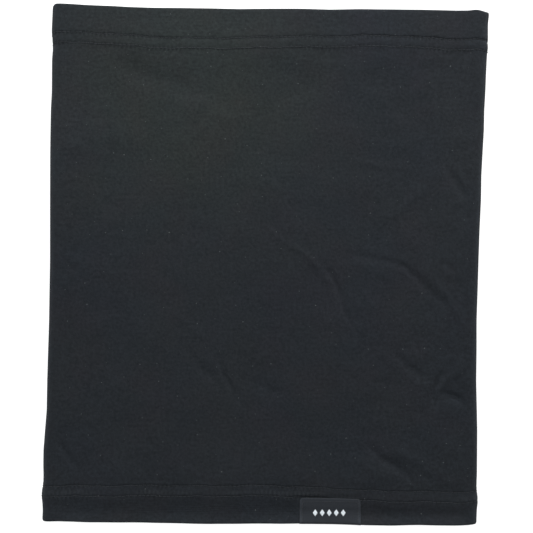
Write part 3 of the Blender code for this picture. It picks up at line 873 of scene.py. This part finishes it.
def cloth_rows():
    """(where, value, depth, is it the outer face) round the cloth's profile."""
    rows = []
    body = list(np.linspace(0.0, 1.0, 158))
    inner_body = list(np.linspace(0.0, 1.0, 34))
    hem = hem_insets()
    rows += [("bottom", a, d, True) for a, d in half_turn(EDGE_R, 8, True)]
    rows += [("bottom", a, 0.0, True) for a in hem]
    rows += [("body", b, 0.0, True) for b in body]
    rows += [("top", a, 0.0, True) for a in hem[::-1]]
    rows += [("top", a, d, True) for a, d in half_turn(EDGE_R, 8, False)]
    turned = [2.5, 5.0, 8.0, 11.0, 14.0, 17.0, 20.0, HEM_TURN - 0.4, HEM_TURN]
    inner, facing = 2 * CLOTH + GAP, CLOTH + GAP
    rows += [("top", a, inner, False) for a in turned]
    rows += [("top", HEM_TURN + 0.1, (inner + facing) / 2, False)]
    rows += [("top", a, facing, False) for a in turned[::-1]]
    rows += [("top", a, d, False) for a, d in half_turn(GAP / 2, 4, True)]
    inside = [2.5, 5.0, 8.0, 11.0, 14.0, 17.0, 20.0, 23.0, 25.5, 28.0]
    rows += [("top", a, CLOTH, False) for a in inside]
    rows += [("body", b, CLOTH, False) for b in inner_body[::-1]]
    rows += [("bottom", a, CLOTH, False) for a in inside[::-1]]
    rows += [("bottom", a, d, False) for a, d in half_turn(GAP / 2, 4, False)]
    rows += [("bottom", a, facing, False) for a in turned]
    rows += [("bottom", HEM_TURN + 0.1, (inner + facing) / 2, False)]
    rows += [("bottom", a, inner, False) for a in turned[::-1]]
    return rows


kind, place = loop_stations(44, 11, 220)
rows = cloth_rows()
grid = np.empty((len(kind), len(rows), 3))
for i, (where, value, depth, outer) in enumerate(rows):
    # half-turn rows on the outer face share the hem's puff, so the end is round
    pts = cloth(kind, place, where, value, depth, skin=outer)
    if outer and where != "body" and depth > EDGE_R:
        plain = cloth(kind, place, where, value, depth, skin=False)
        w = (depth - EDGE_R) / EDGE_R
        pts = pts * (1 - w) + plain * w
    grid[:, i] = pts

ring = np.linalg.norm(np.diff(np.concatenate([grid, grid[:1]]), axis=0), axis=-1)
mid_row = [i for i, r in enumerate(rows) if r[0] == "body" and r[3]][79]
print("cloth grid", grid.shape, 2 * grid.shape[0] * grid.shape[1], "triangles")
U = np.concatenate([[0.0], np.cumsum(ring[:, mid_row])])
prof = np.linalg.norm(np.diff(np.concatenate([grid[90:91], grid[90:91, :1]],
                                             axis=1), axis=1), axis=-1)[0]
V = np.concatenate([[0.0], np.cumsum(prof)])
# the outer cloth's colour carries painted shade at each stitch of the hem rows and
# painted highlights beside the bottom hem's edge row
MAT_JERSEY = jersey("jersey_knit", CLOTH_BASE,
                    rows_at=[V[i] for i, r in enumerate(rows)
                             if r[1] in (ROW_EDGE, ROW_BODY) and r[3]],
                    stitch_highlight_at=[V[i] + 2.1 for i, r in enumerate(rows)
                               if r[:2] == ("bottom", ROW_EDGE) and r[3]])
tube = grid_mesh("knit_tube_cloth", grid, True, True, MAT_JERSEY, (U, V))

# The overlocked allowance: two plies side by side inside the right-hand fold.
ys = np.arange(end_line(np.array([RIGHT]), np.array([0.0]), "bottom")[0]
               + HEM_TURN + 0.8,
               end_line(np.array([RIGHT]), np.array([0.0]), "top")[0]
               - HEM_TURN - 0.8, 1.6)
SEAM_W = 6.6


def seam_z(y):
    return BACK_Z + fold_height_right(y) / 2


def seam_droop(inward, y):
    """The allowance hangs a little and waves along its raw edge."""
    t = inward / SEAM_W
    return (-0.55 * t * t + 0.22 * t * np.sin(2 * np.pi * y / 23.0)
            + 0.12 * t * np.sin(2 * np.pi * y / 9.4 + 1.0))


fin_outline = [(0.2, 0.92), (1.6, 0.94), (3.2, 0.90), (4.8, 0.90), (6.0, 0.86),
               (6.5, 0.62), (6.6, 0.40), (6.45, 0.10), (5.9, 0.04), (5.4, 0.0),
               (5.9, -0.04), (6.45, -0.10), (6.6, -0.40), (6.5, -0.62),
               (6.0, -0.86), (4.8, -0.90), (3.2, -0.90), (1.6, -0.94),
               (0.2, -0.92)]
fin = np.empty((len(ys), len(fin_outline), 3))
for i, (w, h) in enumerate(fin_outline):
    ragged = 0.10 * np.sin(ys * 2.1 + i) if w > 6 else 0.0
    fin[:, i, 0] = right_x(ys) - CLOTH - w + ragged
    fin[:, i, 1] = ys
    fin[:, i, 2] = seam_z(ys) + h + seam_droop(w, ys)
# close the two ends of the strip by drawing them in to their middle line
first, last = fin[:1].copy(), fin[-1:].copy()
for cap, step in ((first, -0.25), (last, 0.25)):
    cap[..., 0] = 0.5 * (cap[..., 0] + cap[:, ::-1, 0])
    cap[..., 2] = 0.5 * (cap[..., 2] + cap[:, ::-1, 2])
    cap[..., 1] += step
fin = np.concatenate([first, fin, last])
allowance = grid_mesh("knit_tube_seam_allowance", fin, False, True,
                      MAT_JERSEY_IN, weld=True)


# ------------------------------------------------------------------- hem stitches
dense_kind, dense_place = loop_stations(260, 40, 420)


def hem_path(end, inset, depth, skin):
    """A dense closed path round the tube, its normals and its arc length."""
    p = cloth(dense_kind, dense_place, end, inset, depth, skin)
    q = cloth(dense_kind, dense_place, end, inset, depth + 0.5, skin)
    nor = p - q
    nor /= np.linalg.norm(nor, axis=-1, keepdims=True)
    p = np.concatenate([p, p[:1]])
    nor = np.concatenate([nor, nor[:1]])
    s = np.concatenate([[0.0], np.cumsum(np.linalg.norm(np.diff(p, axis=0),
                                                        axis=-1))])
    return p, nor, s


def at(path, s):
    """Position and outward normal at arc length s."""
    p, nor, cum = path
    s = np.mod(s, cum[-1])
    pos = np.stack([np.interp(s, cum, p[:, c]) for c in range(3)], -1)
    out = np.stack([np.interp(s, cum, nor[:, c]) for c in range(3)], -1)
    return pos, out / np.linalg.norm(out, axis=-1, keepdims=True)


rng = np.random.default_rng(11)


def needle_row(name, end, inset, mat, phase=0.0):
    """One row of straight stitches: each is a short round thread that rises out
    of the cloth at one hole and dives into the next."""
    path = hem_path(end, inset, 0.0, True)
    count = int(round(path[2][-1] / STITCH))
    step = path[2][-1] / count
    t = np.linspace(-1, 1, 9)
    lift = 0.20 - 0.42 * np.abs(t) ** 3.0          # mm above the furrow's floor
    strands = []
    for k in range(count):
        s = (k + phase + 0.5 * t * 0.93) * step
        p, out = at(path, s)
        wob = rng.normal(0, 0.035)
        p = p + out * (lift + rng.normal(0, 0.015))[:, None]
        p[:, 1] += wob + 0.05 * t * rng.normal(0, 1)
        p[:, 2] = np.maximum(p[:, 2], 0.20)        # pressed up by the surface
        strands.append(p)
    obj = tube_mesh(name, strands, 0.19, mat)
    return obj


def cover_row(name, end, mat):
    """The looper thread inside the hem: it crosses from row to row in long
    slanting loops, one for each stitch."""
    lo = hem_path(end, ROW_EDGE, 2 * CLOTH + GAP, False)
    hi = hem_path(end, ROW_BODY, 2 * CLOTH + GAP, False)
    count = int(round(lo[2][-1] / STITCH))
    f = np.arange(count * 12 + 1) / 12.0            # stitches along the row
    k, t = np.divmod(f, 1.0)
    # out and back across the band, leaning forwards, with a small round loop
    across = 0.5 - 0.5 * np.cos(2 * np.pi * t)
    ahead = k + t + 0.34 * np.sin(2 * np.pi * t)
    pos_lo, out_lo = at(lo, ahead / count * lo[2][-1])
    pos_hi, out_hi = at(hi, ahead / count * hi[2][-1])
    w = (across * 1.06 - 0.03)[:, None]
    path = pos_lo * (1 - w) + pos_hi * w
    lift = 0.17 + 0.12 * np.sin(np.pi * across) * (1 + 0.4 * np.cos(2 * np.pi * f))
    inward = -(out_lo * (1 - w) + out_hi * w)
    path = path + inward * lift[:, None]
    n = len(path)
    strands = [path[i:i + 25] for i in range(0, n - 24, 24)]
    return tube_mesh(name, [s for s in strands if len(s) == 25], 0.15, mat,
                     sides=5, taper=False)


pieces = {}
for end in ("top", "bottom"):
    for row, inset, ph in (("edge", ROW_EDGE, 0.0), ("body", ROW_BODY, 0.5)):
        node = f"{end}_hem_{row}_needle_thread"
        pieces[node] = needle_row(f"{end}_hem_{row}_stitches", end, inset,
                                  MAT_NEEDLE, ph)
    node = f"{end}_hem_looper_thread"
    pieces[node] = cover_row(f"{end}_hem_cover_loops", end, MAT_LOOPER)


# ------------------------------------------------------------------ side overlock
def seam_point(inward, y, above):
    """A point on the allowance: this far in from the fold, above or below."""
    x = right_x(y) - CLOTH - inward
    z = seam_z(y) + above + seam_droop(inward, y)
    return np.stack([x, y, z], -1)


y_lo, y_hi = ys[0] + 1.2, ys[-1] - 1.2
count = int((y_hi - y_lo) / STITCH)
t = np.linspace(-1, 1, 9)
strands = []
for k in range(count):
    y = y_lo + (k + 0.5 + 0.46 * t) * STITCH
    strands.append(seam_point(np.full(9, 1.2), y, 0.94 + 0.17 - 0.30 * np.abs(t) ** 3))
pieces["side_seam_needle_thread"] = tube_mesh("side_seam_stitches", strands, 0.17,
                                              MAT_NEEDLE)


def overlock(name, face):
    """Looper thread on one face of the allowance: from the needle row out to the
    raw edge and back, a loop for each stitch."""
    f = np.arange(count * 12 + 1) / 12.0
    k, tt = np.divmod(f, 1.0)
    across = 0.5 - 0.5 * np.cos(2 * np.pi * tt)
    yy = y_lo + (k + tt + 0.30 * np.sin(2 * np.pi * tt)) * STITCH
    inward = 1.5 + 5.1 * across
    height = (0.92 + 0.17) * (1 - 0.10 * across ** 6)
    p = seam_point(inward, yy, face * height)
    strands = [p[i:i + 25] for i in range(0, len(p) - 24, 24)]
    return tube_mesh(name, strands, 0.15, MAT_LOOPER, sides=5, taper=False)


pieces["side_seam_upper_looper_thread"] = overlock("side_seam_upper_loops", 1.0)
pieces["side_seam_lower_looper_thread"] = overlock("side_seam_lower_loops", -1.0)


# ---------------------------------------------------------------------- hem label
LX0, LX1 = float(label_lo[0]), float(label_hi[0])
label_top_inset = float(label_hi[1] - bottom_y(0.5 * (LX0 + LX1)))
TAPE = 0.34


def front_point(x, end, inset, depth):
    """A point of the front layer's hem at this x."""
    y_guess = np.full(np.shape(x), -150.0 if end == "bottom" else 150.0)
    rl, rr = fold_height_left(y_guess) / 2, fold_height_right(y_guess) / 2
    x0, x1 = left_x(y_guess), right_x(y_guess)
    v = (x - x0 - rl) / (x1 - rr - x0 - rl)
    value = float(inset) - float(np.mean(row_shift(x, end, float(inset))))
    return cloth(np.full(np.shape(x), FRONT), v, end, value, depth, False)


def tape_line():
    """(inset, depth, stand-off side) of the tape's middle line: its end folded
    under, over the top fold, down the outside, round the hem and up inside."""
    off = 0.06 + TAPE / 2
    top = label_top_inset
    line = [(top - 5.2, -off), (top - 4.0, -off), (top - 2.6, -off),
            (top - 1.2, -off), (top - 0.45, -off - 0.02)]
    r = (TAPE + 0.06) / 2
    for i in range(1, 6):
        a = math.pi * i / 6
        line.append((top - 0.45 + 0.95 * r * math.sin(a) + 0.12,
                     -off - r + r * math.cos(a)))
    line += [(top - 0.5, -off - 2 * r), (top - 1.4, -off - 2 * r),
             (top - 2.6, -off - 2 * r - 0.02), (top - 4.0, -off - 2 * r),
             (top - 5.2, -off - 1.75 * r), (top - 6.2, -off - 0.8 * r),
             (top - 7.2, -off - 0.1 * r)]
    a = top - 8.4
    while a > EDGE_R + 0.5:
        line.append((a, -off))
        a -= 1.0
    turn = EDGE_R + off
    for i in range(0, 11):
        g = math.pi * i / 10
        line.append((EDGE_R - turn * math.sin(g), EDGE_R - turn * math.cos(g)))
    a = EDGE_R + 1.0
    while a < top - 1.2:
        line.append((a, 2 * EDGE_R + off))
        a += 1.4
    return np.array(line)


def tape_surface(x, line):
    """The tape's middle surface over a row of x, with the hem's own relief."""
    pts = np.empty((len(x), len(line), 3))
    for i, (inset, depth) in enumerate(line):
        base = front_point(x, "bottom", max(inset, 1.2), 0.0)
        hem_lo = front_point(x, "bottom", 1.2, 0.0)
        y_end = end_line(np.full(x.shape, FRONT),
                         (x - left_x(-150.0)) / (right_x(-150.0)
                                                 - left_x(-150.0)), "bottom")
        z = base[:, 2] if inset > 1.2 else hem_lo[:, 2]
        pts[:, i, 0] = x
        pts[:, i, 1] = y_end + inset
        pts[:, i, 2] = z - depth + 0.24 * min(1.0, max(0.0, 1 - depth / EDGE_R))
    return pts


line = tape_line()
xs = np.concatenate([[LX0, LX0 + 0.15, LX0 + 0.5], np.arange(LX0 + 1.2, LX1 - 0.9, 0.8),
                     [LX1 - 0.5, LX1 - 0.15, LX1]])
mid_surface = tape_surface(xs, line)
# round the corners at the folded top edge and let the sides wander a little
dist_top = np.abs(line[:, 0] - label_top_inset)
draw_in = 2.1 * (1 - np.sqrt(1 - np.clip(1 - dist_top / 3.0, 0, 1) ** 2))
cx = 0.5 * (LX0 + LX1)
half = 0.5 * (LX1 - LX0)
for i in range(len(line)):
    waver = 0.10 * math.sin(line[i, 0] * 0.9 + 1.0)
    shrink = 1 - (draw_in[i] - waver * 0.6) / half
    mid_surface[:, i, 0] = cx + (mid_surface[:, i, 0] - cx) * shrink
# the right-hand end of the folded tape sits a little short of the one below it
tuck = np.clip((mid_surface[..., 0] - (LX1 - 4.0)) / 4.0, 0, 1)
upper = (line[:, 0] > label_top_inset - 3.4) & (line[:, 1] < -0.30)
mid_surface[:, upper, 0] -= 0.75 * tuck[:, upper]
# side edges are pressed down by their stitching
edge = np.minimum(xs - LX0, LX1 - xs)
press = 0.05 * np.exp(-((edge - 1.6) / 0.5) ** 2)
outer_leg = line[:, 1] < 0
mid_surface[:, outer_leg, 2] -= press[:, None]
gx = np.gradient(mid_surface, axis=0)
gy = np.gradient(mid_surface, axis=1)
nrm = np.cross(gx, gy)
nrm /= np.linalg.norm(nrm, axis=-1, keepdims=True)
side_a = mid_surface + nrm * TAPE / 2
side_b = mid_surface - nrm * TAPE / 2
loop_pts = np.concatenate([side_a, side_b[:, ::-1]], axis=1)     # closed profile
cap0 = 0.5 * (side_a[:1] + side_b[:1])
cap1 = 0.5 * (side_a[-1:] + side_b[-1:])
cap0 = np.concatenate([cap0, cap0[:, ::-1]], axis=1)
cap1 = np.concatenate([cap1, cap1[:, ::-1]], axis=1)
cap0[..., 0] -= 0.06
cap1[..., 0] += 0.06
tape_pts = np.concatenate([cap0, loop_pts, cap1])
hem_label = grid_mesh("hem_label_tape", tape_pts, False, True, MAT_LABEL,
                      weld=True)


def label_face(x, y):
    """Height of the label's outer face, read from its own surface."""
    outer = side_a if side_a[len(xs) // 2, 18, 2] > side_b[len(xs) // 2, 18, 2] \
        else side_b
    sel = [i for i in range(len(line)) if line[i, 1] < -0.1
           and i >= 10 and line[i, 0] > 0.6]
    P = outer[:, sel].reshape(-1, 3)
    d = (P[:, 0][None] - np.ravel(x)[:, None]) ** 2 \
        + (P[:, 1][None] - np.ravel(y)[:, None]) ** 2
    idx = np.argsort(d, axis=1)[:, :4]
    w = 1 / (np.take_along_axis(d, idx, 1) + 0.02)
    z = (P[idx, 2] * w).sum(1) / w.sum(1)
    return z.reshape(np.shape(x))


# the woven motif: a plain row of five small diamonds
def diamond(cx_, cy_, w, h):
    """A low woven pad in the shape of a diamond, as a grid of points."""
    n = 9
    a = np.linspace(-1, 1, n)
    A, B = np.meshgrid(a, a, indexing="ij")
    x = cx_ + (A + B) * w / 4
    y = cy_ + (A - B) * h / 4
    rise = 0.13 * (1 - np.maximum(np.abs(A), np.abs(B)) ** 6)
    z = label_face(x, y) + rise - 0.02
    top = np.stack([x, y, z], -1)
    low = top.copy()
    low[..., 2] -= 0.10 + rise
    return top, low


motif_quads, motif_verts = [], []
MOTIF_Y = -144.9
for k in range(5):
    top, low = diamond(37.2 + (k - 2) * 4.1, MOTIF_Y, 3.1, 4.2)
    n = top.shape[0]
    base = sum(len(v) for v in motif_verts)
    motif_verts += [top.reshape(-1, 3), low.reshape(-1, 3)]
    idx = np.arange(n * n).reshape(n, n)
    q = np.stack([idx[:-1, :-1], idx[1:, :-1], idx[1:, 1:], idx[:-1, 1:]],
                 -1).reshape(-1, 4)
    if np.cross(top[1, 0] - top[0, 0], top[0, 1] - top[0, 0])[2] < 0:
        q = q[:, ::-1]
    motif_quads += [q + base, q[:, ::-1] + base + n * n]
    rim = np.concatenate([idx[:, 0], idx[-1, 1:], idx[-2::-1, -1],
                          idx[0, -2:0:-1]])
    nxt = np.roll(rim, -1)
    side_q = np.stack([rim, nxt, nxt + n * n, rim + n * n], -1)
    if np.cross(top[1, 0] - top[0, 0], top[0, 1] - top[0, 0])[2] > 0:
        side_q = side_q[:, ::-1]
    motif_quads.append(side_q + base)
motif = make_mesh("hem_label_motif", np.concatenate(motif_verts) * MM,
                  np.concatenate(motif_quads), MAT_MOTIF)

# label stitching: up one side, across under the top fold, down the other side
inset = 1.6
ty = float(label_hi[1]) - 1.5
by = float(bottom_y(cx)) + 1.6
left_run = [(LX0 + inset, y) for y in np.arange(by, ty - 0.6, 0.25)]
top_run = [(x, ty) for x in np.arange(LX0 + inset + 0.6, LX1 - inset - 0.6, 0.25)]
right_run = [(LX1 - inset, y) for y in np.arange(ty - 0.6, by, -0.25)]
run = np.array(left_run + top_run + right_run)
cum = np.concatenate([[0], np.cumsum(np.linalg.norm(np.diff(run, axis=0), axis=1))])
step = 1.9
strands = []
t = np.linspace(-1, 1, 7)
for k in range(int(cum[-1] / step)):
    s = (k + 0.5 + 0.46 * t) * step
    x, y = np.interp(s, cum, run[:, 0]), np.interp(s, cum, run[:, 1])
    z = label_face(x, y) + 0.10 - 0.24 * np.abs(t) ** 3
    strands.append(np.stack([x, y, z], -1))
label_stitches = tube_mesh("hem_label_stitches", strands, 0.14, MAT_LABEL_THREAD)

# --------------------------------------------------------------------- care label
# Satin tape folded double, lying in the CAD label's own slant, a little curled.
hinge = [j for j in frame["joints"] if j["name"] == "care_label_swing"][0]
hx, hz = hinge["pos_m"][0] / MM, hinge["pos_m"][2] / MM
free = hx - float(care_lo[0])
drop = hz - float(care_lo[2]) - 0.45
slope = math.atan2(drop, free)
n_s = 26
PLY = 0.24
length = free / math.cos(slope) - 0.2
path2 = []
for i in range(n_s + 1):
    path2.append((length * i / n_s, 0.17))
for i in range(1, 6):
    a = math.pi / 2 - math.pi * i / 6
    path2.append((length + 0.17 * math.cos(a), 0.17 * math.sin(a)))
for i in range(n_s + 1):
    path2.append((length * (1 - i / n_s), -0.17))
path2 = np.array(path2)
width_y = np.linspace(float(care_lo[1]) + 0.2, float(care_hi[1]) - 0.2, 26)
care = np.empty((len(width_y), len(path2), 3))
for j, yv in enumerate(width_y):
    w = (yv - width_y.mean()) / (width_y[-1] - width_y[0]) * 2
    curl = 0.25 * np.sin(path2[:, 0] / length * math.pi) * (1 - w * w) \
        + 0.18 * np.sin(path2[:, 0] / length * 4.2 + w)
    n_off = path2[:, 1] * (1 + 0.2 * np.sin(path2[:, 0] * 0.4 + w * 2)) + curl
    care[j, :, 0] = hx - 0.1 - path2[:, 0] * math.cos(slope) - n_off * math.sin(slope)
    care[j, :, 1] = yv
    care[j, :, 2] = hz - path2[:, 0] * math.sin(slope) + n_off * math.cos(slope)
gj = np.gradient(care, axis=0)
gi = np.gradient(care, axis=1)
nrm = np.cross(gj, gi)
nrm /= np.linalg.norm(nrm, axis=-1, keepdims=True)
ca, cb = care + nrm * PLY / 4, care - nrm * PLY / 4
loop_pts = np.concatenate([ca, cb[:, ::-1]], axis=1)
cap0 = np.concatenate([0.5 * (ca[:1] + cb[:1]), 0.5 * (ca[:1] + cb[:1])[:, ::-1]], 1)
cap1 = np.concatenate([0.5 * (ca[-1:] + cb[-1:]), 0.5 * (ca[-1:] + cb[-1:])[:, ::-1]], 1)
cap0[..., 1] -= 0.05
cap1[..., 1] += 0.05
care_obj = grid_mesh("care_label_tape", np.concatenate([cap0, loop_pts, cap1]),
                     False, True, MAT_CARE, weld=True)

# -------------------------------------------------------------- frame and floor
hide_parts("knit_tube")
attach(tube, BODY)
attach(allowance, BODY)
for node, obj in pieces.items():
    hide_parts(node)
    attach(obj, BODY)
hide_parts("hem_label")
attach(hem_label, BODY)
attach(motif, BODY)
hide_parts("hem_label_stitching")
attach(label_stitches, BODY)
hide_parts("care_label")
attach(care_obj, FLAP)

floor = make_mesh("studio_floor",
                  np.array([(-6, -6, -0.0003), (6, -6, -0.0003), (6, 6, -0.0003),
                            (-6, 6, -0.0003)]),
                  np.array([[0, 1, 2, 3]]), floor_material("studio_floor_paper"))


# -------------------------------------------------------------- camera and lights
KEY, SOFT, AMBIENT = 15.0, 13.5, 0.45
PHOTO_WIDTH = 312.1 * MM           # what the frame spans at the cloth's level
LENS = 100.0
cam_data = bpy.data.cameras.new("camera")
cam_data.lens = LENS
cam_data.sensor_width = 36.0
cam_data.clip_end = 50.0
cam = bpy.data.objects.new("camera", cam_data)
bpy.context.scene.collection.objects.link(cam)
cam.location = (0.56 * MM, -1.02 * MM, PHOTO_WIDTH * LENS / 36.0 + 4.8 * MM)
cam.rotation_euler = (0.0, 0.0, 0.0)
bpy.context.scene.camera = cam


def area_light(name, location, target, size, energy, colour=(1, 1, 1)):
    data = bpy.data.lights.new(name, "AREA")
    data.shape = "RECTANGLE"
    data.size, data.size_y = size
    data.energy = energy
    data.color = colour
    obj = bpy.data.objects.new(name, data)
    obj.location = location
    obj.rotation_euler = (Vector(target) - Vector(location)).to_track_quat(
        "-Z", "Y").to_euler()
    bpy.context.scene.collection.objects.link(obj)
    return obj


area_light("key_from_the_top", (0.10, 0.83, 0.46), (-0.01, 0.02, 0.0), (0.40, 0.22),
           KEY, (1.0, 1.0, 0.985))
area_light("soft_overhead", (-0.75, 0.15, 1.5), (0.0, 0.0, 0.0), (1.3, 1.3), SOFT,
           (0.97, 0.99, 1.0))

world = bpy.data.worlds.new("studio")
world.use_nodes = True
world.node_tree.nodes["Background"].inputs["Color"].default_value = (
    0.97, 0.99, 1.0, 1.0)
world.node_tree.nodes["Background"].inputs["Strength"].default_value = AMBIENT
bpy.context.scene.world = world
bpy.context.scene.view_settings.view_transform = "Standard"
bpy.context.scene.view_settings.look = "None"
bpy.context.scene.view_settings.exposure = 0.0
